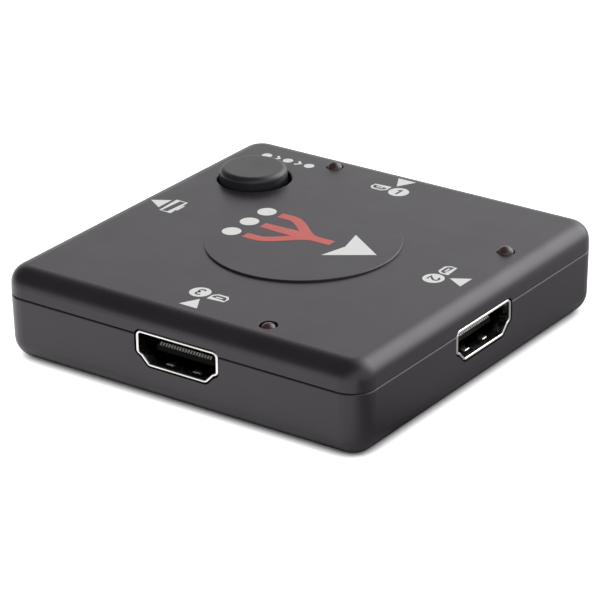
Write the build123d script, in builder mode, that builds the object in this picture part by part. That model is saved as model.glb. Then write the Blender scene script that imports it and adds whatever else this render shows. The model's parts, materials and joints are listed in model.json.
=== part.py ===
from build123d import *
import os
from math import radians, sqrt, tan

# Square switch box for video leads: three inputs, one output and one button.
# All sizes are in millimetres and angles in degrees.
# The origin is the middle of the underside. +X runs along the front face, +Y to the back, +Z up.

os.makedirs("parts", exist_ok=True)

# Case
case_side = 65.0
case_height = 14.8
case_corner_r = 3.9
case_top_r = 2.8
case_bottom_r = 3.3
wall = 2.0
draft_angle = 1.2
inner_corner_r = 1.5
top_cover_height = 4.4
parting_gap = 0.08
reveal_above = 0.05
reveal_below = 0.3
lip_thickness = 0.9
lip_height = 1.0
lip_fit = 0.12
disc_r = 15.0
disc_height = 0.3
disc_edge = 0.1
overrun = 1.0
square_angle = 90

# Screws and the bosses that they join
boss_inset = 6.5
boss_meet_z = 7.0
bottom_boss_r = 3.6
top_boss_r = 2.8
pilot_fit = 0.05
pilot_roof = 0.7
screw_core_r = 1.1
screw_hole_r = 1.45
screw_tip_gap = 0.5
screw_head_r = 2.2
screw_head_height = 1.5
screw_head_edge = 0.3
screw_recess_fit = 0.4
screw_seat_z = 2.4
drive_length = 2.4
drive_width = 0.6
drive_depth = 0.9

# Circuit board and the posts that hold it
board_thickness = 1.6
board_fit = 0.5
board_corner_fit = 0.3
post_r = 1.6
post_inset = 5.5
post_place_share = 0.38938
post_fit = 0.05
leg_tail = 0.6

# Socket mouth: wide at the top, drawn in towards the floor. Each socket sits a little to one side.
socket_level_share = 0.561
socket_shift = {"input_2": -0.2, "input_1": 0.0, "output": 0.0, "input_3": 0.35}
mouth_width = 14.0
mouth_height = 4.55
mouth_side_height = 2.9
mouth_shoulder_in = 0.7
mouth_shoulder_drop = 0.36
mouth_floor_width = 10.1
mouth_corner_r = 0.5
mouth_side_r = 0.4
mouth_shoulder_r = 0.9
mouth_floor_r = 0.5
mouth_sunk = 0.05
cutout_gap = 0.25

# Socket shell, folded from sheet
sheet = 0.4
rim_edge = 0.1
socket_depth = 12.0
back_flap_end = 0.9
leg_width = 1.2
leg_fit = 0.15
leg_front = 4.0
leg_from_back = 1.8

# Spring fingers in the shell's floor and roof
finger_place = 2.4
finger_width = 1.3
finger_thickness = 0.25
finger_side_gap = 0.3
finger_root = 6.6
finger_window_front = 1.25
finger_tip = 1.55
finger_tip_sunk = 0.12
finger_hump = 3.1
finger_hump_rise = 0.45

# Socket insulator and tongue
tongue_nose = 2.2
tongue_top = 0.35
tongue_thickness = 1.5
tongue_width = 10.4
tongue_chamfer = 0.35
block_length = 2.2
block_fit = 0.05

# Socket contacts
contact_count = 19
contact_pitch = 0.5
contact_width = 0.3
contact_thickness = 0.12
contact_slot_fit = 0.2
floor_row_start = 2.9
contact_bend_gap = 0.5
contact_tail = 1.0

# Select button
button_inset_x = 10.97
button_inset_y = 15.5
button_shift_x = -0.12
button_shift_y = -0.08
button_hole_r = 5.95
button_hole_edge = 0.15
cap_r = 5.48
cap_taper = 0.08
cap_edge_r = 0.9
cap_proud = 1.95
cap_wall = 1.2
cap_roof = 1.4
cap_flange_r = 6.5
cap_flange_thickness = 0.8
cap_stem_r = 1.6
cap_rest_gap = 0.1
collar_fit = 0.35
collar_wall = 0.9
collar_lift = 0.3

# Push switch under the button
switch_side = 6.0
switch_base_depth = 5.6
switch_base_height = 3.2
switch_cover_thickness = 0.3
switch_tab_width = 3.0
switch_tab_drop = 1.4
switch_height = 5.0
switch_well_r = 2.5
switch_well_depth = 1.95
plunger_r = 1.75
plunger_fit = 0.08
plunger_flange_r = 2.2
plunger_flange_height = 0.75
plunger_flange_gap = 0.06
plunger_nub_r = 0.6
plunger_nub_height = 0.24
dome_r = 2.35
dome_rise = 0.75
dome_crown_r = 1.1
dome_thickness = 0.12
dome_gap = 0.03
stem_gap = 0.04
terminal_reach = 0.4
terminal_thickness = 0.3
terminal_width = 0.7
terminal_pitch = 4.5
terminal_start = 0.55
terminal_hole_r = 0.5

# Indicator lamps
led_inset = {"input_1": 4.6, "input_2": 5.2, "input_3": 5.3}
led_beside = {"input_1": 6.6, "input_2": 6.8, "input_3": 6.1}
led_hole_r = 1.4
led_hole_edge = 0.05
led_lens_r = 1.33
led_flange_r = 1.9
led_flange_height = 1.0
led_height = 5.3
led_proud = {"input_1": 0.8, "input_2": 0.9, "input_3": 0.3}
led_lead_pitch = 2.54
led_lead_side = 0.5
led_lead_hole_r = 0.45
led_step = 0.6
led_post_inner = 0.2
led_post_width = 0.4
led_post_height = 2.9
led_cup_inner = 0.35
led_cup_outer = 0.95
led_cup_start = 2.1
led_cup_end = 2.8
led_cup_depth = 0.25
led_cup_floor = 0.2

# Chips and small parts on the board. The rows share out the run from a socket's contacts to the chip.
row_shares = {"arrays": 0.12, "resistors": 0.36, "capacitors": 0.62}
chip_side = 10.0
chip_height = 1.2
chip_standoff = 0.15
chip_edge = 0.12
chip_lead_count = 16
chip_lead_pitch = 0.5
chip_lead_width = 0.22
chip_lead_thickness = 0.14
chip_lead_level = 0.7
chip_lead_shoulder = 0.35
chip_lead_reach = 1.0
control_place_shares = (-0.54, -0.5)
control_length = 4.9
control_width = 3.9
control_height = 1.4
control_pitch = 1.27
control_lead_count = 4
control_lead_width = 0.42
control_lead_thickness = 0.2
control_lead_level = 0.75
control_lead_shoulder = 0.4
control_lead_reach = 1.05
regulator_place_shares = (0.54, -0.52)
regulator_length = 6.5
regulator_width = 3.5
regulator_height = 1.6
regulator_edge = 0.2
regulator_tab_width = 3.0
regulator_tab_reach = 1.7
regulator_lead_count = 3
regulator_lead_width = 0.7
regulator_lead_pitch = 2.3
regulator_lead_thickness = 0.3
array_place = 2.4
array_length = 2.6
array_width = 1.2
array_height = 0.6
resistor_count = 6
resistor_pitch = 1.7
resistor_length = 1.6
resistor_width = 0.8
resistor_height = 0.45
capacitor_count = 4
capacitor_pitch = 2.6
capacitor_length = 1.6
capacitor_width = 0.85
capacitor_height = 0.8
capacitor_edge = 0.08
diode_place = 11.5
diode_depth = 10.6
diode_length = 2.7
diode_width = 1.6
diode_height = 1.1
diode_edge = 0.15
diode_lead_reach = 0.45
diode_lead_width = 0.6
diode_lead_thickness = 0.2

# Levels and sizes worked out from those above
floor_z = wall
ceiling_z = case_height - wall
parting_z = case_height - top_cover_height
skirt_z = parting_z + parting_gap
inner_side = case_side - 2 * wall
boss_place = case_side / 2 - boss_inset
post_nearest = mouth_width / 2 + max(led_beside.values()) + led_flange_r + post_r
post_farthest = boss_place - screw_hole_r - post_r
post_place = post_nearest + post_place_share * (post_farthest - post_nearest)
block_start = socket_depth - sheet - block_length
contact_bend = socket_depth + contact_bend_gap
contact_foot_end = contact_bend + contact_tail
leg_depths = (leg_front, socket_depth - leg_from_back)
mouth_top = mouth_height / 2
mouth_floor = -mouth_height / 2
socket_z = socket_level_share * case_height
board_top_z = socket_z + mouth_floor - sheet
board_bottom_z = board_top_z - board_thickness
draft_slope = tan(radians(draft_angle))
mouth_reach = case_side / 2 - (parting_z - socket_z) * draft_slope - mouth_sunk
leg_end_z = board_bottom_z - leg_tail
flange_top_z = ceiling_z - cap_rest_gap
flange_bottom_z = flange_top_z - cap_flange_thickness
cap_top_z = case_height + cap_proud
plunger_top_z = board_top_z + switch_height
pilot_end_z = ceiling_z - pilot_roof
button_x = button_inset_x - case_side / 2
button_y = case_side / 2 - button_inset_y
screw_places = GridLocations(2 * boss_place, 2 * boss_place, 2, 2)

# Each socket faces outwards at its own turn about the middle of the case
port_turns = {"input_2": 0, "input_1": 90, "output": 180, "input_3": 270}


def turned(along, across, turn):
    """A point that lies out from the middle and along the face, turned about the middle."""
    return Vector(along, across, 0).rotate(Axis.Z, turn)


def port_plane(turn, shift):
    """The plane across a socket's mouth, facing out of the case with its own y axis up."""
    outward = turned(1, 0, turn)
    middle = turned(mouth_reach, shift, turn) + Vector(0, 0, socket_z)
    return Plane(origin=middle, x_dir=turned(0, 1, turn), z_dir=outward)


def side_plane(port):
    """The upright plane through a socket's middle: x is depth into the case and y is up."""
    return Plane(origin=port.origin, x_dir=-port.z_dir, z_dir=port.x_dir)


def board_plane(port, height=board_top_z):
    """A level plane with its origin under a socket's mouth: x along the mouth, y into the case."""
    return Plane(origin=(port.origin.X, port.origin.Y, height), x_dir=port.x_dir, z_dir=(0, 0, 1))


def row(count, pitch):
    """Evenly spaced places about zero."""
    return [(i - (count - 1) / 2) * pitch for i in range(count)]


ports = {name: port_plane(turn, socket_shift[name]) for name, turn in port_turns.items()}
lamp_names = {"input_1": "led_1", "input_2": "led_2", "input_3": "led_3"}
led_points = {
    name: turned(case_side / 2 - led_inset[name], mouth_width / 2 + led_beside[name], port_turns[name])
    for name in lamp_names
}
post_points = [
    turned(case_side / 2 - post_inset, post_place, turn) for turn in port_turns.values()
]
leg_places = [(side * (mouth_width + sheet) / 2, depth) for side in (-1, 1) for depth in leg_depths]
down_plane = Plane(origin=(0, 0, parting_z), z_dir=(0, 0, -1))

# Outline of the mouth, and the same outline grown for the sheet and for the case's cut-out
side_end = mouth_top - mouth_side_height
mouth_right = [
    (mouth_width / 2, mouth_top),
    (mouth_width / 2, side_end),
    (mouth_width / 2 - mouth_shoulder_in, side_end - mouth_shoulder_drop),
    (mouth_floor_width / 2, mouth_floor),
]
mouth_left = [(-x, y) for x, y in reversed(mouth_right)]

with BuildSketch() as mouth:
    with BuildLine():
        Polyline(*mouth_right, *mouth_left, close=True)
    make_face()
    fillet(mouth.vertices().group_by(Axis.Y)[-1], mouth_corner_r)
    fillet(mouth.vertices().group_by(Axis.Y)[0], mouth_floor_r)
    fillet(mouth.vertices().filter_by_position(Axis.Y, side_end, side_end), mouth_side_r)
    shoulder_y = side_end - mouth_shoulder_drop
    fillet(mouth.vertices().filter_by_position(Axis.Y, shoulder_y, shoulder_y), mouth_shoulder_r)

with BuildSketch() as shell_outline:
    add(mouth.sketch)
    offset(amount=sheet)

with BuildSketch() as cutout_outline:
    add(mouth.sketch)
    offset(amount=sheet + cutout_gap)

with BuildSketch() as block_outline:
    add(mouth.sketch)
    offset(amount=-block_fit)


# The space that all four sockets need in the walls of the two covers
with BuildPart() as socket_openings:
    for port in ports.values():
        with BuildSketch(port.offset(overrun)):
            add(cutout_outline.sketch)
        extrude(amount=-(wall + 2 * overrun))

# Top cover
with BuildPart() as top_cover:
    with BuildSketch(Plane.XY.offset(skirt_z)):
        RectangleRounded(case_side, case_side, case_corner_r)
    extrude(amount=case_height - skirt_z, taper=draft_angle)
    fillet(top_cover.faces().sort_by(Axis.Z)[-1].edges(), case_top_r)
    chamfer(top_cover.faces().sort_by(Axis.Z)[0].edges(), reveal_above)
    with BuildSketch(Plane.XY.offset(skirt_z)):
        RectangleRounded(inner_side, inner_side, inner_corner_r)
    extrude(amount=ceiling_z - skirt_z, taper=draft_angle, mode=Mode.SUBTRACT)
    groove_side = inner_side + 2 * (lip_thickness + lip_fit)
    with BuildSketch(Plane.XY.offset(skirt_z)):
        RectangleRounded(groove_side, groove_side, inner_corner_r + lip_thickness + lip_fit)
    extrude(amount=lip_height + lip_fit - parting_gap, mode=Mode.SUBTRACT)
    add(socket_openings.part, mode=Mode.SUBTRACT)

    # Raised disc
    with BuildSketch(Plane.XY.offset(case_height)):
        Circle(disc_r)
    extrude(amount=disc_height)
    chamfer(top_cover.faces().sort_by(Axis.Z)[-1].edges(), disc_edge)

    # Screw bosses and the posts that hold the board down
    with BuildSketch(Plane.XY.offset(boss_meet_z)):
        with screw_places:
            Circle(top_boss_r)
    extrude(amount=ceiling_z - boss_meet_z)
    with BuildSketch(Plane.XY.offset(boss_meet_z)):
        with screw_places:
            Circle(screw_core_r + pilot_fit)
    extrude(amount=pilot_end_z - boss_meet_z, mode=Mode.SUBTRACT)
    with BuildSketch(Plane.XY.offset(board_top_z + post_fit)):
        with Locations(*post_points):
            Circle(post_r)
    extrude(amount=ceiling_z - board_top_z - post_fit)

    # Collar that guides the button's flange, above the sockets
    collar_height = ceiling_z - (socket_z + mouth_top + sheet + collar_lift)
    with BuildSketch(Plane.XY.offset(ceiling_z - collar_height)):
        with Locations((button_x, button_y)):
            Circle(cap_flange_r + collar_fit + collar_wall)
            Circle(cap_flange_r + collar_fit, mode=Mode.SUBTRACT)
    extrude(amount=collar_height)

    # Holes for the button and the lamps, with broken edges
    with Locations((button_x, button_y, case_height)):
        CounterSinkHole(button_hole_r, button_hole_r + button_hole_edge, 2 * wall, square_angle)
    with Locations(*[point + Vector(0, 0, case_height) for point in led_points.values()]):
        CounterSinkHole(led_hole_r, led_hole_r + led_hole_edge, 2 * wall, square_angle)

top_cover.part.label = "top_cover"
export_step(top_cover.part, "parts/top_cover.step")

# Bottom cover
with BuildPart() as bottom_cover:
    with BuildSketch(down_plane):
        RectangleRounded(case_side, case_side, case_corner_r)
    extrude(amount=parting_z, taper=draft_angle)
    fillet(bottom_cover.faces().sort_by(Axis.Z)[0].edges(), case_bottom_r)
    fillet(bottom_cover.faces().sort_by(Axis.Z)[-1].edges(), reveal_below)
    with BuildSketch(down_plane):
        RectangleRounded(inner_side, inner_side, inner_corner_r)
    extrude(amount=parting_z - floor_z, taper=draft_angle, mode=Mode.SUBTRACT)

    # Lip that locates the top cover
    with BuildSketch(Plane.XY.offset(parting_z)):
        lip_side = inner_side + 2 * lip_thickness
        RectangleRounded(lip_side, lip_side, inner_corner_r + lip_thickness)
        RectangleRounded(inner_side, inner_side, inner_corner_r, mode=Mode.SUBTRACT)
    extrude(amount=lip_height)
    add(socket_openings.part, mode=Mode.SUBTRACT)

    # Screw bosses, sunk screw seats and the posts under the board
    with BuildSketch(Plane.XY.offset(floor_z)):
        with screw_places:
            Circle(bottom_boss_r)
    extrude(amount=boss_meet_z - floor_z)
    with BuildSketch(Plane.XY.offset(floor_z)):
        with Locations(*post_points):
            Circle(post_r)
    extrude(amount=board_bottom_z - floor_z)
    with Locations(*[Plane(origin=place.position, z_dir=(0, 0, -1)) for place in screw_places]):
        CounterBoreHole(
            radius=screw_hole_r,
            counter_bore_radius=screw_head_r + screw_recess_fit,
            counter_bore_depth=screw_seat_z,
            depth=boss_meet_z,
        )

bottom_cover.part.label = "bottom_cover"
export_step(bottom_cover.part, "parts/bottom_cover.step")

# Case screws, pan heads seated in the recesses of the underside
with BuildPart() as case_screws:
    with BuildSketch(Plane.XY.offset(screw_seat_z - screw_head_height)):
        with screw_places:
            Circle(screw_head_r)
    extrude(amount=screw_head_height)
    chamfer(case_screws.edges().group_by(Axis.Z)[0], screw_head_edge)
    with BuildSketch(Plane.XY.offset(screw_seat_z)):
        with screw_places:
            Circle(screw_core_r)
    extrude(amount=pilot_end_z - screw_tip_gap - screw_seat_z)
    with BuildSketch(Plane.XY.offset(screw_seat_z - screw_head_height)):
        with screw_places:
            Rectangle(drive_length, drive_width)
            Rectangle(drive_width, drive_length)
    extrude(amount=drive_depth, mode=Mode.SUBTRACT)

case_screws.part.label = "case_screws"
export_step(case_screws.part, "parts/case_screws.step")

# Circuit board, with a hole for every leg that passes through it
with BuildPart() as circuit_board:
    with BuildSketch(Plane.XY.offset(board_bottom_z)):
        board_side = inner_side - 2 * board_fit
        Rectangle(board_side, board_side)
        notch = board_side / 2 - boss_place + bottom_boss_r + board_corner_fit
        with GridLocations(board_side - notch, board_side - notch, 2, 2):
            Rectangle(notch, notch, mode=Mode.SUBTRACT)
    extrude(amount=board_thickness)
    for port in ports.values():
        with BuildSketch(board_plane(port)):
            with Locations(*leg_places):
                Rectangle(sheet + 2 * leg_fit, leg_width + 2 * leg_fit)
        extrude(amount=-board_thickness, mode=Mode.SUBTRACT)
    for name, point in led_points.items():
        with BuildSketch(Plane(origin=(point.X, point.Y, board_top_z), x_dir=ports[name].x_dir)):
            with GridLocations(led_lead_pitch, 0, 2, 1):
                Circle(led_lead_hole_r)
        extrude(amount=-board_thickness, mode=Mode.SUBTRACT)
    terminal_x = switch_side / 2 + terminal_reach - terminal_thickness / 2
    with BuildSketch(Plane.XY.offset(board_top_z)):
        with Locations((button_x, button_y)):
            with GridLocations(2 * terminal_x, terminal_pitch, 2, 2):
                Circle(terminal_hole_r)
    extrude(amount=-board_thickness, mode=Mode.SUBTRACT)

circuit_board.part.label = "circuit_board"
export_step(circuit_board.part, "parts/circuit_board.step")

# Finger of a socket's floor, as seen from the side: depth into the case and height
finger_floor = mouth_floor - sheet + finger_thickness
finger_line = [
    (finger_root, finger_floor),
    (finger_hump, mouth_floor + finger_hump_rise),
    (finger_tip, finger_floor - finger_tip_sunk),
]
finger_under = [(depth, height - finger_thickness) for depth, height in reversed(finger_line)]
finger_window = (finger_root - finger_window_front, finger_width + 2 * finger_side_gap)
finger_window_middle = (finger_root + finger_window_front) / 2

with BuildSketch() as finger_side:
    with BuildLine():
        Polyline(*finger_line, *finger_under, close=True)
    make_face()

# The tongue's nose, and the path of one contact of each row, drawn from the same side.
# Both rows show on the nose's upper edge. The lower row passes down through the tongue.
tongue_floor = tongue_top - tongue_thickness
nose_low = tongue_top - tongue_chamfer
nose_back = tongue_nose + tongue_chamfer
skew = contact_thickness / sqrt(2)
top_face = tongue_top + contact_thickness
floor_face = tongue_floor - contact_thickness
row_end = contact_bend + contact_thickness
foot_under = board_top_z - socket_z
foot_face = foot_under + contact_thickness
riser_back = floor_row_start + contact_thickness
contact_foot = [
    (row_end, foot_face),
    (contact_foot_end, foot_face),
    (contact_foot_end, foot_under),
    (contact_bend, foot_under),
]
top_row_path = [
    (tongue_nose - skew, nose_low + skew),
    (nose_back - skew, top_face),
    (row_end, top_face),
    *contact_foot,
    (contact_bend, tongue_top),
    (nose_back, tongue_top),
    (tongue_nose, nose_low),
]
floor_row_path = [
    (tongue_nose - skew, nose_low + skew),
    (nose_back - skew, top_face),
    (riser_back, top_face),
    (riser_back, tongue_floor),
    (row_end, tongue_floor),
    *contact_foot,
    (contact_bend, floor_face),
    (floor_row_start, floor_face),
    (floor_row_start, tongue_top),
    (nose_back, tongue_top),
    (tongue_nose, nose_low),
]
contact_places = row(contact_count, contact_pitch)

# Sockets: shell, contacts and insulator of each port
for name, port in ports.items():
    side = side_plane(port)

    with BuildPart() as shell:
        with BuildSketch(port):
            add(shell_outline.sketch)
            add(mouth.sketch, mode=Mode.SUBTRACT)
        extrude(amount=-socket_depth)
        chamfer(shell.faces().sort_by(Axis(port.origin, port.z_dir))[-1].edges(), rim_edge)

        # Back flap, open at the bottom for the contacts' tails
        with BuildSketch(port.offset(sheet - socket_depth)):
            add(shell_outline.sketch)
            flap_height = mouth_top + sheet - back_flap_end
            with Locations((0, back_flap_end + flap_height / 2)):
                Rectangle(mouth_width + 2 * sheet, flap_height, mode=Mode.INTERSECT)
        extrude(amount=-sheet)

        # Windows and fingers, two in the floor and two in the roof
        with BuildSketch(*[side.offset(place) for place in (-finger_place, finger_place)]):
            with Locations((finger_window_middle, mouth_top + sheet / 2),
                           (finger_window_middle, mouth_floor - sheet / 2)):
                Rectangle(finger_window[0], 2 * sheet)
        extrude(amount=finger_window[1] / 2, both=True, mode=Mode.SUBTRACT)
        with BuildSketch(*[side.offset(place) for place in (-finger_place, finger_place)]):
            add(finger_side.sketch)
            mirror(finger_side.sketch, about=Plane.XZ)
        extrude(amount=finger_width / 2, both=True)

        # Legs that pass through the board, in line with the upright sides
        leg_height = mouth_top - mouth_corner_r - (leg_end_z - socket_z)
        with BuildSketch(board_plane(port, leg_end_z)):
            with Locations(*leg_places):
                Rectangle(sheet, leg_width)
        extrude(amount=leg_height)

    shell.part.label = f"{name}_shell"
    export_step(shell.part, f"parts/{name}_shell.step")

    with BuildPart() as contacts:
        with BuildSketch(*[side.offset(place) for place in contact_places[0::2]]):
            with BuildLine():
                Polyline(*top_row_path, close=True)
            make_face()
        extrude(amount=contact_width / 2, both=True)
        with BuildSketch(*[side.offset(place) for place in contact_places[1::2]]):
            with BuildLine():
                Polyline(*floor_row_path, close=True)
            make_face()
        extrude(amount=contact_width / 2, both=True)

    contacts.part.label = f"{name}_contacts"
    export_step(contacts.part, f"parts/{name}_contacts.step")

    with BuildPart() as insulator:
        with BuildSketch(port.offset(-block_start)):
            add(block_outline.sketch)
        extrude(amount=block_start + sheet - socket_depth)
        with BuildSketch(side):
            with BuildLine():
                Polyline(
                    (tongue_nose, nose_low),
                    (tongue_nose + tongue_chamfer, tongue_top),
                    (block_start, tongue_top),
                    (block_start, tongue_floor),
                    (tongue_nose + tongue_chamfer, tongue_floor),
                    (tongue_nose, tongue_floor + tongue_chamfer),
                    close=True,
                )
            make_face()
        extrude(amount=tongue_width / 2, both=True)

        # Channels for the two rows, and the slots that the lower row passes down through
        channel_width = contact_count * contact_pitch + contact_slot_fit
        channel_levels = (tongue_top + contact_thickness / 2, tongue_floor - contact_thickness / 2)
        with BuildSketch(port.offset(-block_start)):
            with Locations(*[(0, level) for level in channel_levels]):
                Rectangle(channel_width, contact_thickness)
        extrude(amount=block_start - socket_depth, mode=Mode.SUBTRACT)
        with BuildSketch(*[side.offset(place) for place in contact_places[1::2]]):
            with Locations(((floor_row_start + riser_back) / 2, (tongue_top + tongue_floor) / 2)):
                Rectangle(contact_thickness, tongue_thickness)
        extrude(amount=contact_width / 2, both=True, mode=Mode.SUBTRACT)

    insulator.part.label = f"{name}_insulator"
    export_step(insulator.part, f"parts/{name}_insulator.step")

# Select button: cap, retaining flange and centre stem, turned about its own axis
button_axis = Axis((button_x + button_shift_x, button_y + button_shift_y, 0), (0, 0, 1))
button_side = Plane(origin=button_axis.position, x_dir=(1, 0, 0), z_dir=(0, -1, 0))
stem_end_z = plunger_top_z + stem_gap

with BuildPart() as select_button:
    with BuildSketch(button_side) as cap_section:
        with BuildLine():
            Polyline(
                (0, stem_end_z),
                (cap_stem_r, stem_end_z),
                (cap_stem_r, cap_top_z - cap_roof),
                (cap_r - cap_wall, cap_top_z - cap_roof),
                (cap_r - cap_wall, flange_bottom_z),
                (cap_flange_r, flange_bottom_z),
                (cap_flange_r, flange_top_z),
                (cap_r, flange_top_z),
                (cap_r - cap_taper, cap_top_z),
                (0, cap_top_z),
                close=True,
            )
        make_face()
        fillet(cap_section.vertices().sort_by(Axis.Y)[-2:].sort_by(Axis.X)[-1], cap_edge_r)
    revolve(axis=button_axis)

select_button.part.label = "select_button"
export_step(select_button.part, "parts/select_button.step")

# Push switch
switch_plane = Plane(origin=(button_x, button_y, board_top_z))
switch_axis = Axis((button_x, button_y, 0), (0, 0, 1))
switch_side_plane = Plane(origin=(button_x, button_y, 0), x_dir=(1, 0, 0), z_dir=(0, -1, 0))
well_floor_z = board_top_z + switch_base_height - switch_well_depth
plate_z = board_top_z + switch_base_height
plunger_flange_top_z = plate_z - plunger_flange_gap
plunger_flange_bottom_z = plunger_flange_top_z - plunger_flange_height

with BuildPart() as switch_base:
    with BuildSketch(switch_plane):
        Rectangle(switch_side, switch_base_depth)
    extrude(amount=switch_base_height)
    with BuildSketch(switch_plane.offset(switch_base_height - switch_well_depth)):
        Circle(switch_well_r)
    extrude(amount=switch_well_depth, mode=Mode.SUBTRACT)

switch_base.part.label = "switch_base"
export_step(switch_base.part, "parts/switch_base.step")

with BuildPart() as switch_cover:
    with BuildSketch(switch_plane.offset(switch_base_height)):
        Rectangle(switch_side, switch_side)
        Circle(plunger_r + plunger_fit, mode=Mode.SUBTRACT)
    extrude(amount=switch_cover_thickness)
    tab_thickness = (switch_side - switch_base_depth) / 2
    with BuildSketch(switch_plane.offset(switch_base_height)):
        with GridLocations(0, switch_side - tab_thickness, 1, 2):
            Rectangle(switch_tab_width, tab_thickness)
    extrude(amount=-switch_tab_drop)

switch_cover.part.label = "switch_cover"
export_step(switch_cover.part, "parts/switch_cover.step")

with BuildPart() as switch_plunger:
    with BuildSketch(switch_side_plane):
        with BuildLine():
            Polyline(
                (0, plunger_flange_bottom_z - plunger_nub_height),
                (plunger_nub_r, plunger_flange_bottom_z - plunger_nub_height),
                (plunger_nub_r, plunger_flange_bottom_z),
                (plunger_flange_r, plunger_flange_bottom_z),
                (plunger_flange_r, plunger_flange_top_z),
                (plunger_r, plunger_flange_top_z),
                (plunger_r, plunger_top_z),
                (0, plunger_top_z),
                close=True,
            )
        make_face()
    revolve(axis=switch_axis)

switch_plunger.part.label = "switch_plunger"
export_step(switch_plunger.part, "parts/switch_plunger.step")

# Snap dome: a thin cone with a flat crown, its rim on the floor of the well
with BuildPart() as switch_dome:
    with BuildSketch(switch_side_plane):
        with BuildLine():
            rim_z = well_floor_z + dome_gap
            crown_z = rim_z + dome_rise
            Polyline(
                (dome_r, rim_z),
                (dome_crown_r, crown_z),
                (0, crown_z),
                (0, crown_z - dome_thickness),
                (dome_crown_r - dome_thickness, crown_z - dome_thickness),
                (dome_r - dome_thickness, rim_z),
                close=True,
            )
        make_face()
    revolve(axis=switch_axis)

switch_dome.part.label = "switch_dome"
export_step(switch_dome.part, "parts/switch_dome.step")

with BuildPart() as switch_terminals:
    terminal_root = switch_side / 2
    terminal_edge = terminal_root + terminal_reach
    terminal_top_z = board_top_z + terminal_start
    terminal_side = [
        (terminal_root, terminal_top_z),
        (terminal_edge, terminal_top_z),
        (terminal_edge, leg_end_z),
        (terminal_edge - terminal_thickness, leg_end_z),
        (terminal_edge - terminal_thickness, terminal_top_z - terminal_thickness),
        (terminal_root, terminal_top_z - terminal_thickness),
    ]
    with BuildSketch(*[switch_side_plane.offset(place) for place in row(2, terminal_pitch)]):
        with BuildLine():
            Polyline(*terminal_side, close=True)
        make_face()
        with BuildLine():
            Polyline(*[(-x, z) for x, z in reversed(terminal_side)], close=True)
        make_face()
    extrude(amount=terminal_width / 2, both=True)

switch_terminals.part.label = "switch_terminals"
export_step(switch_terminals.part, "parts/switch_terminals.step")

# Indicator lamps: the leads first, then the lens moulded round them
for port_name, lamp in lamp_names.items():
    point = led_points[port_name]
    flange_z = case_height + led_proud[port_name] - led_height
    lamp_axis = Axis((point.X, point.Y, 0), (0, 0, 1))
    across = ports[port_name].x_dir
    lamp_plane = Plane(origin=(point.X, point.Y, flange_z), x_dir=across,
                       z_dir=across.cross(Vector(0, 0, 1)))
    lead_inner = (led_lead_pitch - led_lead_side) / 2
    lead_outer = (led_lead_pitch + led_lead_side) / 2
    lead_end = leg_end_z - flange_z

    with BuildPart() as leads:
        with BuildSketch(lamp_plane):
            with BuildLine():
                Polyline(
                    (-lead_outer, lead_end),
                    (-lead_inner, lead_end),
                    (-lead_inner, led_step - led_post_width),
                    (-led_post_inner, led_step - led_post_width),
                    (-led_post_inner, led_post_height),
                    (-led_post_inner - led_post_width, led_post_height),
                    (-led_post_inner - led_post_width, led_step),
                    (-lead_outer, led_step),
                    close=True,
                )
            make_face()
            with BuildLine():
                Polyline(
                    (lead_outer, lead_end),
                    (lead_outer, led_step),
                    (led_cup_outer, led_step),
                    (led_cup_outer, led_cup_end),
                    (led_cup_outer - led_cup_floor, led_cup_end - led_cup_depth),
                    (led_post_inner, led_cup_end - led_cup_depth),
                    (0, led_cup_end),
                    (0, led_cup_start),
                    (led_cup_inner, led_cup_start - led_cup_floor),
                    (led_cup_inner, led_step - led_post_width),
                    (lead_inner, led_step - led_post_width),
                    (lead_inner, lead_end),
                    close=True,
                )
            make_face()
        extrude(amount=led_lead_side / 2, both=True)

    leads.part.label = f"{lamp}_leads"
    export_step(leads.part, f"parts/{lamp}_leads.step")

    with BuildPart() as lens:
        with BuildSketch(lamp_plane):
            with BuildLine():
                shoulder = led_height - led_lens_r
                Polyline(
                    (0, led_height),
                    (0, 0),
                    (led_flange_r, 0),
                    (led_flange_r, led_flange_height),
                    (led_lens_r, led_flange_height),
                    (led_lens_r, shoulder),
                )
                RadiusArc((0, led_height), (led_lens_r, shoulder), led_lens_r)
            make_face()
        revolve(axis=lamp_axis)
        add(leads.part, mode=Mode.SUBTRACT)

    lens.part.label = f"{lamp}_lens"
    export_step(lens.part, f"parts/{lamp}_lens.step")

# Main chip and its leads, sixteen a side
with BuildPart() as main_chip:
    with BuildSketch(Plane.XY.offset(board_top_z + chip_standoff)):
        Rectangle(chip_side, chip_side)
    extrude(amount=chip_height)
    chamfer(main_chip.faces().sort_by(Axis.Z)[-1].edges(), chip_edge)

main_chip.part.label = "main_chip"
export_step(main_chip.part, "parts/main_chip.step")


def lead_side(root, level, shoulder, reach, thickness):
    """Side of a bent lead that stands on the board: out, down and out again."""
    return [
        (root, level),
        (root + shoulder, level),
        (root + shoulder, thickness),
        (root + reach, thickness),
        (root + reach, 0),
        (root + shoulder - thickness, 0),
        (root + shoulder - thickness, level - thickness),
        (root, level - thickness),
    ]


with BuildPart() as main_chip_leads:
    for turn in port_turns.values():
        outward = Plane(origin=(0, 0, board_top_z), x_dir=turned(1, 0, turn), z_dir=turned(0, -1, turn))
        with BuildSketch(*[outward.offset(place) for place in row(chip_lead_count, chip_lead_pitch)]):
            with BuildLine():
                Polyline(*lead_side(chip_side / 2, chip_lead_level, chip_lead_shoulder,
                                    chip_lead_reach, chip_lead_thickness), close=True)
            make_face()
        extrude(amount=chip_lead_width / 2, both=True)

main_chip_leads.part.label = "main_chip_leads"
export_step(main_chip_leads.part, "parts/main_chip_leads.step")

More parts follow.
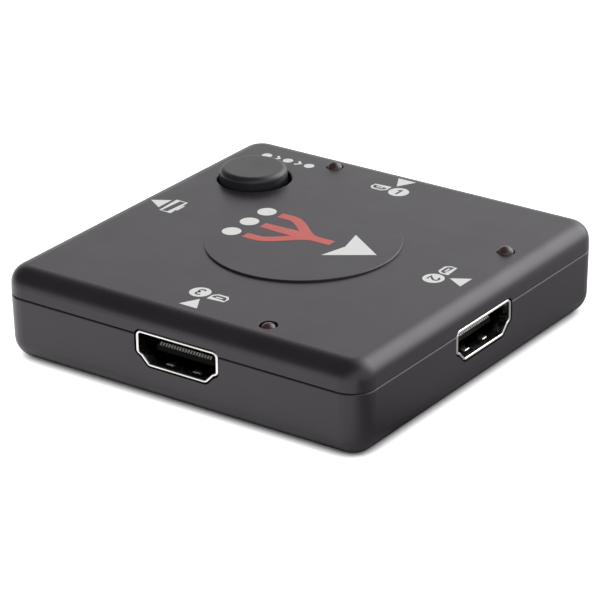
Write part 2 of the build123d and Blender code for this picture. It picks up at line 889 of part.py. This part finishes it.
# Control chip, with its leads moulded in
with BuildPart() as control_chip:
    control_x, control_y = [share * boss_place for share in control_place_shares]
    with BuildSketch(Plane(origin=(control_x, control_y, board_top_z + chip_standoff))):
        Rectangle(control_length, control_width)
    extrude(amount=control_height)
    chamfer(control_chip.faces().sort_by(Axis.Z)[-1].edges(), chip_edge)
    control_side = Plane(origin=(control_x, control_y, board_top_z), x_dir=(0, 1, 0), z_dir=(1, 0, 0))
    control_lead = lead_side(control_width / 2 - control_lead_thickness, control_lead_level,
                             control_lead_shoulder + control_lead_thickness,
                             control_lead_reach + control_lead_thickness, control_lead_thickness)
    with BuildSketch(*[control_side.offset(place) for place in row(control_lead_count, control_pitch)]):
        with BuildLine():
            Polyline(*control_lead, close=True)
        make_face()
        with BuildLine():
            Polyline(*[(-y, z) for y, z in reversed(control_lead)], close=True)
        make_face()
    extrude(amount=control_lead_width / 2, both=True)

control_chip.part.label = "control_chip"
export_step(control_chip.part, "parts/control_chip.step")

# Voltage regulator with its wide tab and three leads
with BuildPart() as voltage_regulator:
    regulator_x, regulator_y = [share * boss_place for share in regulator_place_shares]
    regulator_plane = Plane(origin=(regulator_x, regulator_y, board_top_z))
    with BuildSketch(regulator_plane):
        Rectangle(regulator_length, regulator_width)
    extrude(amount=regulator_height)
    chamfer(voltage_regulator.faces().sort_by(Axis.Z)[-1].edges(), regulator_edge)
    with BuildSketch(regulator_plane):
        with Locations((0, regulator_width / 2)):
            Rectangle(regulator_tab_width, 2 * regulator_tab_reach)
        with Locations(*[(x, -regulator_width / 2) for x in row(regulator_lead_count, regulator_lead_pitch)]):
            Rectangle(regulator_lead_width, 2 * regulator_tab_reach)
    extrude(amount=regulator_lead_thickness)

voltage_regulator.part.label = "voltage_regulator"
export_step(voltage_regulator.part, "parts/voltage_regulator.step")

# Small parts in rows between each socket's contacts and the chip's leads
row_run = mouth_reach - chip_side / 2 - chip_lead_reach - contact_foot_end
row_depths = {kind: contact_foot_end + share * row_run for kind, share in row_shares.items()}

with BuildPart() as protection_arrays:
    for port in ports.values():
        with BuildSketch(board_plane(port)):
            with Locations(*[(x, row_depths["arrays"]) for x in (-array_place, array_place)]):
                Rectangle(array_length, array_width)
        extrude(amount=array_height)

protection_arrays.part.label = "protection_arrays"
export_step(protection_arrays.part, "parts/protection_arrays.step")

with BuildPart() as resistors:
    for port in ports.values():
        with BuildSketch(board_plane(port)):
            with Locations(*[(x, row_depths["resistors"]) for x in row(resistor_count, resistor_pitch)]):
                Rectangle(resistor_width, resistor_length)
        extrude(amount=resistor_height)

resistors.part.label = "resistors"
export_step(resistors.part, "parts/resistors.step")

with BuildPart() as capacitors:
    for port in ports.values():
        with BuildSketch(board_plane(port)):
            with Locations(*[(x, row_depths["capacitors"]) for x in row(capacitor_count, capacitor_pitch)]):
                Rectangle(capacitor_width, capacitor_length)
        extrude(amount=capacitor_height)
    chamfer(capacitors.faces().group_by(Axis.Z)[-1].edges(), capacitor_edge)

capacitors.part.label = "capacitors"
export_step(capacitors.part, "parts/capacitors.step")

# Power diodes, one beside each input socket
with BuildPart() as power_diodes:
    for name in lamp_names:
        diode_plane = board_plane(ports[name])
        with BuildSketch(diode_plane):
            with Locations((diode_place, diode_depth)):
                Rectangle(diode_width, diode_length)
        extrude(amount=diode_height)
    chamfer(power_diodes.faces().group_by(Axis.Z)[-1].edges(), diode_edge)
    for name in lamp_names:
        with BuildSketch(board_plane(ports[name])):
            with Locations((diode_place, diode_depth)):
                Rectangle(diode_lead_width, diode_length + 2 * diode_lead_reach)
        extrude(amount=diode_lead_thickness)

power_diodes.part.label = "power_diodes"
export_step(power_diodes.part, "parts/power_diodes.step")
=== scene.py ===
import bmesh
import bpy
import json
import math
from mathutils import Matrix, Vector


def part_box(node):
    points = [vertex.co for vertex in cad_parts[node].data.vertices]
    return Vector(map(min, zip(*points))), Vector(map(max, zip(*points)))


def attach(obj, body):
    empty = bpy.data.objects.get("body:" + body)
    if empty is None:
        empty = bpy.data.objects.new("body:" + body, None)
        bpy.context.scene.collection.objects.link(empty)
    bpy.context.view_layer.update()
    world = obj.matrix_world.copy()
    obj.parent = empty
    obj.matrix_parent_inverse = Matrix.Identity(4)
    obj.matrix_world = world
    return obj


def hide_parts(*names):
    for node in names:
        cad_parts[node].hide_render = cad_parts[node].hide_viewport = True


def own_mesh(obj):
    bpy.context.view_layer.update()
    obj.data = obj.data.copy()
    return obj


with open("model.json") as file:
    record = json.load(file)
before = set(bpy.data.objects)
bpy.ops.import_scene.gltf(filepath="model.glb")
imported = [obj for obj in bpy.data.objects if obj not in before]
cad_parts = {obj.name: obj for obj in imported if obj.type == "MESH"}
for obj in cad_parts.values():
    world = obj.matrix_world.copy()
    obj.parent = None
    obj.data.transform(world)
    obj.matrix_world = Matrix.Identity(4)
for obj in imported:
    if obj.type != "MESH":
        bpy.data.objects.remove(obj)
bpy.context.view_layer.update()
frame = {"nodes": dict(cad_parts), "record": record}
nodes = frame["nodes"]

MM = 0.001
PORTS = ("input_1", "input_2", "input_3", "output")

# Heights of the top and of the raised disc in its middle
TOP = 14.8 * MM
DISC = TOP + 0.3 * MM

# How high a print's upper face stands, how high a number's does, which lies over its disc, how far
# down from there the film of print reaches, and how near two points of it are to be made one
PRINT = 0.02 * MM
NUMBER = 1.6 * PRINT
FILM = 1.25 * PRINT
WELD = 0.001 * MM

# Camera, placed by a fit to the case's outline in the photograph: turn and tilt in degrees, and
# roll in radians
CAMERA_PLACE = (0.252877, -0.353906, 0.200579)
CAMERA_TURN, CAMERA_TILT, CAMERA_ROLL = 35.634, 24.182, -0.0146
CAMERA_LENS, CAMERA_SENSOR = 187.9, 36
CAMERA_NEAR, CAMERA_FAR = 0.02, 20


def make_camera():
    turn, tilt, roll = math.radians(CAMERA_TURN), math.radians(CAMERA_TILT), CAMERA_ROLL
    back = Vector((math.sin(turn) * math.cos(tilt), -math.cos(turn) * math.cos(tilt), math.sin(tilt)))
    right = Vector((math.cos(turn), math.sin(turn), 0))
    up = back.cross(right)
    side = math.cos(roll) * right + math.sin(roll) * up
    head = -math.sin(roll) * right + math.cos(roll) * up
    camera = bpy.data.objects.new("camera", bpy.data.cameras.new("camera"))
    bpy.context.scene.collection.objects.link(camera)
    camera.matrix_world = Matrix((*zip(side, head, back, CAMERA_PLACE), (0, 0, 0, 1)))
    camera.data.sensor_width = CAMERA_SENSOR
    camera.data.lens = CAMERA_LENS
    camera.data.clip_start = CAMERA_NEAR
    camera.data.clip_end = CAMERA_FAR
    bpy.context.scene.camera = camera


make_camera()


# Small helpers for node materials
def new_material(name):
    mat = bpy.data.materials.new(name)
    mat.use_nodes = True
    tree = mat.node_tree
    return mat, tree, tree.nodes["Principled BSDF"]


def add_node(tree, kind, **values):
    node = tree.nodes.new(kind)
    for key, value in values.items():
        setattr(node, key, value)
    return node


def set_inputs(node, values):
    for name, value in values.items():
        node.inputs[name].default_value = value


def object_place(tree):
    return add_node(tree, "ShaderNodeTexCoord").outputs["Object"]


def noise(tree, scale, detail=3.0, rough=0.55, coords=None):
    node = add_node(tree, "ShaderNodeTexNoise")
    set_inputs(node, {"Scale": scale, "Detail": detail, "Roughness": rough})
    tree.links.new(object_place(tree) if coords is None else coords, node.inputs["Vector"])
    return node.outputs["Fac"]


def spread(tree, value, low, high, start=0.3, end=0.7):
    """A value's run from start to end, stretched to a run from low to high."""
    node = add_node(tree, "ShaderNodeMapRange")
    tree.links.new(value, node.inputs["Value"])
    set_inputs(node, {"From Min": start, "From Max": end, "To Min": low, "To Max": high})
    return node.outputs["Result"]


def blend_colour(tree, fac, first, second):
    node = add_node(tree, "ShaderNodeMix", data_type="RGBA")
    tree.links.new(fac, node.inputs["Factor"])
    for socket, colour in ((node.inputs[6], first), (node.inputs[7], second)):
        if isinstance(colour, tuple):
            socket.default_value = (*colour, 1)
        else:
            tree.links.new(colour, socket)
    return node.outputs[2]


def finish_surface(tree, shader, colour, rough):
    tree.links.new(colour, shader.inputs["Base Color"])
    tree.links.new(rough, shader.inputs["Roughness"])


def bump(tree, shader, height, distance, strength=1.0, before=None):
    node = add_node(tree, "ShaderNodeBump")
    set_inputs(node, {"Strength": strength, "Distance": distance})
    tree.links.new(height, node.inputs["Height"])
    if before is not None:
        tree.links.new(before, node.inputs["Normal"])
    tree.links.new(node.outputs["Normal"], shader.inputs["Normal"])
    return node.outputs["Normal"]


def combine(tree, operation, first, second):
    node = add_node(tree, "ShaderNodeMath", operation=operation)
    tree.links.new(first, node.inputs[0])
    tree.links.new(second, node.inputs[1])
    return node.outputs[0]


def along(tree, place, way):
    """How far a place lies along one direction."""
    node = add_node(tree, "ShaderNodeVectorMath", operation="DOT_PRODUCT")
    tree.links.new(place, node.inputs[0])
    node.inputs[1].default_value = way
    return node.outputs["Value"]


def ramp_of(tree, value, top, marks):
    """A grey level along a value from 0 to 1, given as places and levels of at most top."""
    ramp = add_node(tree, "ShaderNodeValToRGB")
    tree.links.new(value, ramp.inputs["Fac"])
    stops = ramp.color_ramp.elements
    stops[0].position, stops[1].position = marks[0][0], marks[-1][0]
    for at, _ in marks[1:-1]:
        stops.new(at)
    for stop, (_, level) in zip(stops, marks):
        stop.color = (level / top, level / top, level / top, 1)
    node = add_node(tree, "ShaderNodeMath", operation="MULTIPLY")
    tree.links.new(ramp.outputs["Color"], node.inputs[0])
    node.inputs[1].default_value = top
    return node.outputs[0]


def moulded(name, dark, light, rough, grain=0.004, specular=0.5):
    """Moulded plastic: fine spark grain, faint flow clouds in the colour and uneven gloss.

    The grain's height is in millimetres."""
    mat, tree, shader = new_material(name)
    clouds = spread(tree, noise(tree, scale=70, detail=4, rough=0.6), low=0, high=1)
    specks = spread(tree, noise(tree, scale=3800, detail=2, rough=0.7), low=0, high=0.25,
                    start=0.55, end=0.75)
    gloss = spread(tree, noise(tree, scale=160, detail=5, rough=0.65), *rough)
    colour = blend_colour(tree, specks, blend_colour(tree, clouds, dark, light), light)
    finish_surface(tree, shader, colour, gloss)
    set_inputs(shader, {"Specular IOR Level": specular, "Specular Tint": (1, 0.96, 1, 1)})
    waves = bump(tree, shader, noise(tree, scale=260, detail=2), distance=0.02 * MM, strength=0.25)
    bump(tree, shader, noise(tree, scale=5200, detail=2, rough=0.6), distance=grain * MM, before=waves)
    return mat


def painted_socket_shade(tree):
    """Painted shade: from 1 deep in a socket to 0 near its rim, told by the place on the box."""
    place = add_node(tree, "ShaderNodeSeparateXYZ")
    tree.links.new(object_place(tree), place.inputs[0])
    sides = []
    for axis in ("X", "Y"):
        side = add_node(tree, "ShaderNodeMath", operation="ABSOLUTE")
        tree.links.new(place.outputs[axis], side.inputs[0])
        sides.append(side.outputs[0])
    return spread(tree, combine(tree, "MAXIMUM", *sides), low=1, high=0, start=30.2 * MM, end=30.8 * MM)


def metal(name, dark, light, rough, scale=900, stretch=(1, 1, 1), deep=None):
    """Plated or drawn metal: uneven tone and gloss, with fine marks, which can be stretched one way.

    A colour for deep paints shade on it: darker deep in a socket."""
    mat, tree, shader = new_material(name)
    mapping = add_node(tree, "ShaderNodeMapping")
    mapping.inputs["Scale"].default_value = stretch
    tree.links.new(object_place(tree), mapping.inputs["Vector"])
    marks = noise(tree, scale, detail=4, rough=0.6, coords=mapping.outputs["Vector"])
    tone = spread(tree, noise(tree, scale=260, detail=3), low=0, high=1)
    colour = blend_colour(tree, tone, dark, light)
    # Painted shade: the colour goes towards deep the deeper a place lies in a socket
    if deep is not None:
        colour = blend_colour(tree, painted_socket_shade(tree), colour, deep)
    finish_surface(tree, shader, colour, spread(tree, marks, *rough))
    shader.inputs["Metallic"].default_value = 1.0
    bump(tree, shader, marks, distance=0.0015 * MM)
    return mat


def ink(name, colour, worn):
    """Pad printing: slightly uneven cover of ink with a fine matt tooth."""
    mat, tree, shader = new_material(name)
    thin = spread(tree, noise(tree, scale=2600, detail=3, rough=0.6), low=0, high=1,
                  start=0.62, end=0.85)
    finish_surface(tree, shader, blend_colour(tree, thin, colour, worn),
                   spread(tree, noise(tree, scale=500), low=0.42, high=0.58))
    bump(tree, shader, noise(tree, scale=5000, detail=2), distance=0.002 * MM)
    return mat


def make_lens():
    """Tinted clear resin with faint clouds."""
    mat, tree, shader = new_material("lamp resin")
    clouds = spread(tree, noise(tree, scale=900, detail=3), low=0, high=1)
    finish_surface(tree, shader, blend_colour(tree, clouds, (0.18, 0.085, 0.095), (0.26, 0.14, 0.15)),
                   spread(tree, noise(tree, scale=1500), low=0.04, high=0.12))
    shader.inputs["Transmission Weight"].default_value = 0.8
    shader.inputs["IOR"].default_value = 1.52
    bump(tree, shader, noise(tree, scale=700, detail=2), distance=0.004 * MM)
    return mat


def make_board():
    """Solder mask, a little lighter and higher along its tracks."""
    mat, tree, shader = new_material("solder mask")
    cell = add_node(tree, "ShaderNodeTexVoronoi", distance="CHEBYCHEV", feature="F1")
    cell.inputs["Scale"].default_value = 420
    tree.links.new(object_place(tree), cell.inputs["Vector"])
    tracks = spread(tree, cell.outputs["Distance"], low=0, high=1, start=0.35, end=0.42)
    colour = blend_colour(tree, tracks, (0.004, 0.030, 0.012), (0.007, 0.050, 0.019))
    finish_surface(tree, shader, colour, spread(tree, noise(tree, scale=600), low=0.25, high=0.40))
    bump(tree, shader, tracks, distance=0.02 * MM)
    return mat


def make_small(name, body, shine):
    """A small surface part: a fired body with a fine grain in its colour and height."""
    mat, tree, shader = new_material(name)
    grain = noise(tree, scale=3000, detail=3)
    darker = tuple(0.7 * c for c in body)
    finish_surface(tree, shader, blend_colour(tree, spread(tree, grain, low=0, high=1), body, darker),
                   spread(tree, noise(tree, scale=900), low=shine, high=shine + 0.15))
    bump(tree, shader, grain, distance=0.003 * MM)
    return mat


case_plastic = moulded("case plastic", (0.0158, 0.0120, 0.0168), (0.0208, 0.0164, 0.0220), (0.27, 0.34))
button_plastic = moulded("button plastic", (0.013, 0.0118, 0.0138), (0.018, 0.0165, 0.019), (0.26, 0.34),
                         grain=0.003)
socket_plastic = moulded("socket plastic", (0.004, 0.004, 0.004), (0.008, 0.0075, 0.007), (0.50, 0.65),
                         grain=0.002, specular=0.05)
chip_plastic = moulded("chip plastic", (0.012, 0.012, 0.013), (0.022, 0.022, 0.023), (0.5, 0.65),
                       grain=0.006)
# The sockets' nickel, with painted shade deep inside the sockets
socket_metal = metal("nickel plate", (0.68, 0.67, 0.65), (0.82, 0.81, 0.79), (0.14, 0.26),
                     deep=(0.10, 0.095, 0.09))
# The finger noses' nickel: rougher, and lighter than the sockets' nickel without its painted shade, a
# painted highlight on the noses
nose_metal = metal("nickel with painted highlight", (0.82, 0.81, 0.79), (0.92, 0.91, 0.89), (0.36, 0.48))
# The contacts' plate in a dim grey, painted shade for where they sit deep in the sockets
contact_metal = metal("shaded contact plate", (0.22, 0.215, 0.205), (0.32, 0.31, 0.295), (0.30, 0.44))
screw_steel = metal("zinc plate", (0.36, 0.37, 0.38), (0.55, 0.56, 0.57), (0.24, 0.45), scale=1500)
lead_metal = metal("tinned lead", (0.60, 0.60, 0.58), (0.74, 0.74, 0.72), (0.25, 0.40))
switch_metal = metal("stamped steel", (0.50, 0.50, 0.50), (0.64, 0.64, 0.63), (0.28, 0.42),
                     stretch=(1, 6, 1))
white_ink = ink("white print", (0.80, 0.80, 0.79), (0.45, 0.45, 0.45))
coral_ink = ink("coral print", (0.60, 0.115, 0.10), (0.45, 0.09, 0.08))

# The CAD nodes' finishes, by the record's material slot
finishes = {
    "case_plastic": case_plastic,
    "button_plastic": button_plastic,
    "socket_metal": socket_metal,
    "socket_plastic": socket_plastic,
    "contact_metal": contact_metal,
    "screw_steel": screw_steel,
    "board": make_board(),
    "switch_metal": switch_metal,
    "switch_plastic": chip_plastic,
    "lamp_lens": make_lens(),
    "lead_metal": lead_metal,
    "chip_plastic": chip_plastic,
    "resistor_body": make_small("resistor glaze", (0.02, 0.02, 0.022), shine=0.3),
    "capacitor_body": make_small("capacitor ceramic", (0.36, 0.25, 0.16), shine=0.4),
}
for entry in frame["record"]["subparts"]:
    materials = nodes[entry["node"]].data.materials
    materials.clear()
    materials.append(finishes[entry["material_slot"]])


# Small helpers for meshes
def add_object(name, bm, material):
    mesh = bpy.data.meshes.new(name)
    bm.to_mesh(mesh)
    bm.free()
    mesh.materials.append(material)
    made = bpy.data.objects.new(name, mesh)
    bpy.context.scene.collection.objects.link(made)
    return made


def add_piece(name, bm, material):
    """A closed piece on the case, with its faces turned outwards."""
    bmesh.ops.recalc_face_normals(bm, faces=bm.faces)
    piece = add_object(name, bm, material)
    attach(piece, "case")
    return piece


def circle(count):
    return [(math.cos(2 * math.pi * i / count), math.sin(2 * math.pi * i / count)) for i in range(count)]


def bridge(bm, loops):
    """Smooth quads from each ring of points to the next."""
    for one, two in zip(loops, loops[1:]):
        for i in range(len(one)):
            bm.faces.new((one[i - 1], one[i], two[i], two[i - 1])).smooth = True


# Rounded noses on the spring fingers, just behind each socket's rim, in millimetres: how far they
# are to each side of the socket's middle, over and under it, and behind its mount. A nose's outline
# is places along it, each with its radius there.
NOSE_ASIDE, NOSE_LEVEL, NOSE_DEPTH = 2.4, 2.275 + 0.10, 1.53
NOSE_OUTLINE = ((-0.62, 0.07), (-0.58, 0.15), (-0.48, 0.19), (0.48, 0.19), (0.58, 0.15), (0.62, 0.07))


def finger_noses(port, sides=20):
    mount = next(m for m in frame["record"]["mounts"] if m["name"] == f"{port}_socket")
    out = Vector(mount["axis"])
    across = Vector((-out.y, out.x, 0))
    bm = bmesh.new()
    for aside in (-NOSE_ASIDE, NOSE_ASIDE):
        for level in (-NOSE_LEVEL, NOSE_LEVEL):
            middle = Vector(mount["pos_m"]) - out * NOSE_DEPTH * MM + Vector((0, 0, level * MM))
            loops = []
            for place, r in NOSE_OUTLINE:
                loops.append([bm.verts.new(middle + across * (aside + place) * MM
                                           + out * r * x * MM + Vector((0, 0, r * z * MM)))
                              for x, z in circle(sides)])
            bridge(bm, loops)
            bm.faces.new(loops[0])
            bm.faces.new(loops[-1][::-1])
    add_piece(f"{port}_finger_noses", bm, nose_metal)


for port in PORTS:
    finger_noses(port)


# The push switch's snap dome, made in place of the CAD one, which is hidden
def snap_dome(sides=48, steps=10, sheet=0.12 * MM):
    low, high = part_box("switch_dome")
    middle = (Vector(low) + Vector(high)) / 2
    radius, rise = (high[0] - low[0]) / 2, high[2] - low[2]
    shares = [(i + 1) / steps for i in range(steps)]
    over = [(radius * s, rise * (1 - s * s)) for s in shares]
    under = [((radius - sheet) * s, (rise - sheet) * (1 - s * s)) for s in reversed(shares)]
    bm = bmesh.new()
    loops = [[bm.verts.new((middle.x + r * x, middle.y + r * y, low[2] + z)) for x, y in circle(sides)]
             for r, z in over + under]
    bridge(bm, loops)
    crown = bm.verts.new((middle.x, middle.y, low[2] + rise))
    hollow = bm.verts.new((middle.x, middle.y, low[2] + rise - sheet))
    for i in range(sides):
        bm.faces.new((crown, loops[0][i], loops[0][i - 1])).smooth = True
        bm.faces.new((hollow, loops[-1][i - 1], loops[-1][i])).smooth = True
    piece = add_piece("snap_dome", bm, switch_metal)
    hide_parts("switch_dome")
    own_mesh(piece)


snap_dome()


# Prints, from closed outlines that are given in millimetres
def flat(name, outlines, height=TOP + PRINT, material=white_ink):
    """One film of print, with its foot just in what it lies on."""
    bm = bmesh.new()
    for outline in outlines:
        bm.faces.new([bm.verts.new((x * MM, y * MM, height)) for x, y in outline])
    bmesh.ops.remove_doubles(bm, verts=bm.verts, dist=WELD)
    film = bmesh.ops.extrude_face_region(bm, geom=bm.faces[:], use_keep_orig=True)["geom"]
    foot = [v for v in film if isinstance(v, bmesh.types.BMVert)]
    bmesh.ops.translate(bm, verts=foot, vec=(0, 0, -FILM))
    add_piece(name, bm, material)


def arc(x, y, r, start, end, steps):
    angles = [math.radians(start + (end - start) * i / steps) for i in range(steps + 1)]
    return [(x + r * math.cos(angle), y + r * math.sin(angle)) for angle in angles]


def dot(x, y, r, steps):
    return arc(x, y, r, 0, 360, steps)[:-1]


def stroke(points, width, close=False):
    """Quads along a line of points, with square ends."""
    half = width / 2
    count = len(points)
    sides = []
    for i, (x, y) in enumerate(points):
        if close:
            before, after = points[i - 1], points[(i + 1) % count]
        else:
            before, after = points[max(i - 1, 0)], points[min(i + 1, count - 1)]
        line = Vector((after[0] - before[0], after[1] - before[1])).normalized()
        here = Vector((x, y))
        mitre = 1.0
        if before != (x, y) and after != (x, y):
            one = Vector((x - before[0], y - before[1])).normalized()
            mitre = max(0.4, one.dot(line))
        across = Vector((-line.y, line.x)) * half / mitre
        sides.append((tuple(here + across), tuple(here - across)))
    following = sides[1:] + sides[:1] if close else sides[1:]
    return [[a[0], a[1], b[1], b[0]] for a, b in zip(sides, following)]


def placed(outlines, x, y, turn):
    """Outlines turned about their own origin and moved to a place."""
    c, s = math.cos(math.radians(turn)), math.sin(math.radians(turn))
    return [[(x + c * px - s * py, y + s * px + c * py) for px, py in outline] for outline in outlines]


# Numbers, in a field about 1.1 wide and 1.9 high
def digit(number):
    if number == 1:
        return [[(-0.10, -0.95), (0.26, -0.95), (0.26, 0.95), (0.0, 0.95), (-0.46, 0.66), (-0.46, 0.30),
                 (-0.10, 0.52)]]
    if number == 2:
        bend = arc(0, 0.42, r=0.5, start=165, end=-40, steps=14)
        return stroke([*bend, (-0.48, -0.78), (0.58, -0.78)], width=0.34)
    upper = arc(-0.05, 0.42, r=0.46, start=150, end=-90, steps=14)
    lower = arc(-0.05, -0.42, r=0.5, start=90, end=-150, steps=14)
    return [*stroke(upper, width=0.32), *stroke(lower, width=0.32)]


# At each input, where its number's disc and its socket sign are, and the turn that both have
INPUT_MARKS = {
    1: ((0.9, 24.55), (-2.7, 24.55), 0),
    2: ((23.7, -0.46), (23.7, 3.15), -90),
    3: ((-1.9, -23.4), (1.7, -23.5), 180),
}

# White discs, each with its number over it in the case's own finish
for number, (place, _, turn) in INPUT_MARKS.items():
    flat(f"mark_{number}_disc", placed([dot(0, 0, r=1.65, steps=47)], *place, turn))
    flat(f"mark_{number}_number", placed(digit(number), *place, turn), TOP + NUMBER, case_plastic)

# Arrowheads: in at the inputs, out at the output
flat("arrow_1", [[(-2.3, 29.35), (1.0, 29.35), (-0.65, 26.35)]])
flat("arrow_2", [[(28.55, -0.8), (28.55, 2.5), (25.7, 0.85)]])
flat("arrow_3", [[(-2.1, -28.3), (1.16, -28.3), (-0.47, -25.4)]])
flat("arrow_out", [[(-26.8, -1.1), (-26.8, 2.3), (-29.6, 0.65)]])

# Small signs beside the marks: a socket's outline for each input, a screen for the output, and
# three dots passed in turn for the button
SIGN_LINE = 0.36
MOUTH = [(-1.35, 0.75), (-1.35, -0.15), (-0.85, -0.75), (0.85, -0.75), (1.35, -0.15), (1.35, 0.75)]
TONGUE = [(-0.6, 0.22), (-0.6, -0.1), (0.6, -0.1), (0.6, 0.22)]
SCREEN = [(-2.3, 1.0), (-2.3, -0.65), (2.3, -0.65), (2.3, 1.0)]
SCREEN_FOOT = [(-1.0, -1.0), (-1.0, -1.3), (1.0, -1.3), (1.0, -1.0)]
CHEVRON = [(-0.375, 0.75), (0.375, 0), (-0.375, -0.75)]
BUTTON_SIGN_Y = 25.9
BUTTON_DOTS_X = (-25.5, -21.35, -17.2)
CHEVRONS_X = (-23.42, -19.27)

for number, (_, place, turn) in INPUT_MARKS.items():
    flat(f"sign_{number}", placed([*stroke(MOUTH, SIGN_LINE, close=True), TONGUE], *place, turn))
flat("sign_out", placed([*stroke(SCREEN, SIGN_LINE, close=True), SCREEN_FOOT], -24.85, 0.45, turn=90))
button_sign = [dot(x, BUTTON_SIGN_Y, r=0.85, steps=29) for x in BUTTON_DOTS_X]
for x in CHEVRONS_X:
    button_sign += placed(stroke(CHEVRON, width=0.42), x, BUTTON_SIGN_Y, turn=0)
flat("sign_button", button_sign)


# Middle design: three bars that run together into one arrow, in white and coral
def joined_bars(starts, meet, bar_start, bend_start, bend_end, end, half, steps=24):
    """One outline of bars that start at their own heights and swing together into the bar at meet."""
    def edge(level, offset):
        line = []
        for i in range(steps + 1):
            t = i / steps
            rise = t * t * (3 - 2 * t)
            slope = (meet - level) * 6 * t * (1 - t) / (bend_end - bend_start)
            length = math.hypot(1, slope)
            line.append((bend_start + t * (bend_end - bend_start) - offset * slope / length,
                         level + (meet - level) * rise + offset / length))
        return [(bar_start, level + offset), *line]

    top, bottom = max(starts), min(starts)
    outline = [*edge(top, half), (end, meet + half), (end, meet - half), *reversed(edge(bottom, -half))]
    under = [point for point in edge(bottom, half) if point[1] < meet - half]
    over = [point for point in edge(top, -half) if point[1] > meet + half]
    return [*outline, *under, (bar_start, meet - half), (bar_start, meet + half), *reversed(over)]


ART_LEVELS = ART_TOP, ART_MIDDLE, ART_BOTTOM = 6.1, 1.5, -3.1
ART_HEAD = [(5.4, ART_TOP), (12.3, ART_MIDDLE), (5.4, ART_BOTTOM), (6.6, ART_MIDDLE)]
art_bars = joined_bars(ART_LEVELS, ART_MIDDLE, bar_start=-8.7, bend_start=-6.6, bend_end=1.2, end=4.2,
                       half=0.85)
flat("art_ends", [dot(-11.2, y, r=1.5, steps=47) for y in ART_LEVELS], DISC + PRINT)
flat("art_lines", [art_bars], DISC + PRINT, coral_ink)
flat("art_head", [ART_HEAD], DISC + PRINT)


# Studio: pale floor, white surroundings and one soft lamp
WORLD_LIGHT = 0.85


def nearness(tree, reach, samples):
    """1 in the open, and less the more stands within reach."""
    node = add_node(tree, "ShaderNodeAmbientOcclusion", samples=samples)
    node.inputs["Distance"].default_value = reach
    return node.outputs["AO"]


def make_floor():
    mat, tree, shader = new_material("studio floor")
    set_inputs(shader, {"Roughness": 0.9, "Specular IOR Level": 0.1, "Emission Color": (1, 1, 1, 1)})
    rays = add_node(tree, "ShaderNodeLightPath").outputs
    # White as the camera sees it, with a narrow painted shadow where the box meets the floor, on top of
    # the real shadow that its lit colour takes
    contact = spread(tree, nearness(tree, 3 * MM, samples=8), low=0, high=0.95, start=0.17, end=0.58)
    seen = combine(tree, "MULTIPLY", rays["Is Camera Ray"], contact)
    # As gloss shows it: bright before the front and left faces, dim before the right and back ones,
    # and dimmer close to the box, a painted shadow of the box that the reflections show
    place = spread(tree, along(tree, object_place(tree), (0.582, 0.813, 0)), low=0, high=1,
                   start=-0.1, end=0.1)
    levels = ramp_of(tree, place, top=1.5,
                     marks=((0.0, 1.0), (0.20, 1.45), (0.35, 1.3), (0.43, 1.15), (0.48, 0.4),
                            (0.515, 0.15), (0.575, 0.42), (0.67, 0.46), (0.80, 0.48), (1.0, 0.8)))
    # Painted shadow: the floor's glow in reflections fades close to the box
    shade = spread(tree, nearness(tree, 12 * MM, samples=4), low=0, high=1, start=0.3, end=0.78)
    shown = combine(tree, "MULTIPLY", combine(tree, "MULTIPLY", rays["Is Glossy Ray"], levels), shade)
    tree.links.new(combine(tree, "ADD", seen, shown), shader.inputs["Emission Strength"])
    tree.links.new(blend_colour(tree, rays["Is Glossy Ray"], (0.80, 0.80, 0.80), (0, 0, 0)),
                   shader.inputs["Base Color"])
    bm = bmesh.new()
    bmesh.ops.create_grid(bm, x_segments=1, y_segments=1, size=6)
    floor = add_object("floor", bm, mat)


def patch(tree, way, toward, top, marks):
    """A smooth patch of the surroundings, by the cosine of the angle from one direction."""
    return ramp_of(tree, along(tree, way, Vector(toward).normalized()), top, marks)


def choose(tree, fac, first, second):
    """The first value where fac is 0 and the second where it is 1. Either may be a plain number."""
    node = add_node(tree, "ShaderNodeMix", data_type="FLOAT")
    tree.links.new(fac, node.inputs["Factor"])
    for socket, value in ((node.inputs[2], first), (node.inputs[3], second)):
        if isinstance(value, float):
            socket.default_value = value
        else:
            tree.links.new(value, socket)
    return node.outputs[0]


def make_world():
    world = bpy.data.worlds.new("studio")
    world.use_nodes = True
    bpy.context.scene.world = world
    tree = world.node_tree
    rays = add_node(tree, "ShaderNodeLightPath").outputs
    # As gloss shows it: pale all round, a dark patch high on the left and a soft box behind on the right
    way = add_node(tree, "ShaderNodeTexCoord").outputs["Generated"]
    dark = patch(tree, way, toward=(-0.45, -0.35, 0.82), top=1,
                 marks=((0.30, 1), (0.44, 0.62), (0.58, 0.40), (0.76, 0.12), (1, 0.08)))
    bright = patch(tree, way, toward=(0.36, 0.74, 0.57), top=2.5,
                   marks=((0.66, 0), (0.81, 0.7), (0.94, 2.1), (1, 2.5)))
    unseen = choose(tree, rays["Is Glossy Ray"], WORLD_LIGHT, combine(tree, "ADD", dark, bright))
    # White as the camera sees it, also through clear resin
    seen = combine(tree, "MAXIMUM", rays["Is Camera Ray"], rays["Is Transmission Ray"])
    background = tree.nodes["Background"]
    background.inputs["Color"].default_value = (1, 1, 1, 1)
    tree.links.new(choose(tree, seen, unseen, 1.0), background.inputs["Strength"])


def make_lamp(name, place, size, watts):
    """A square lamp that points at the box."""
    lamp = bpy.data.objects.new(name, bpy.data.lights.new(name, "AREA"))
    lamp.data.shape = "SQUARE"
    lamp.data.size = size
    lamp.data.energy = watts
    lamp.location = place
    lamp.rotation_euler = (-Vector(place)).to_track_quat("-Z", "Y").to_euler()
    bpy.context.scene.collection.objects.link(lamp)


make_floor()
make_world()
make_lamp("key", place=(0.42, 0.76, 0.545), size=0.7, watts=1.0)

bpy.context.scene.view_settings.view_transform = "Standard"
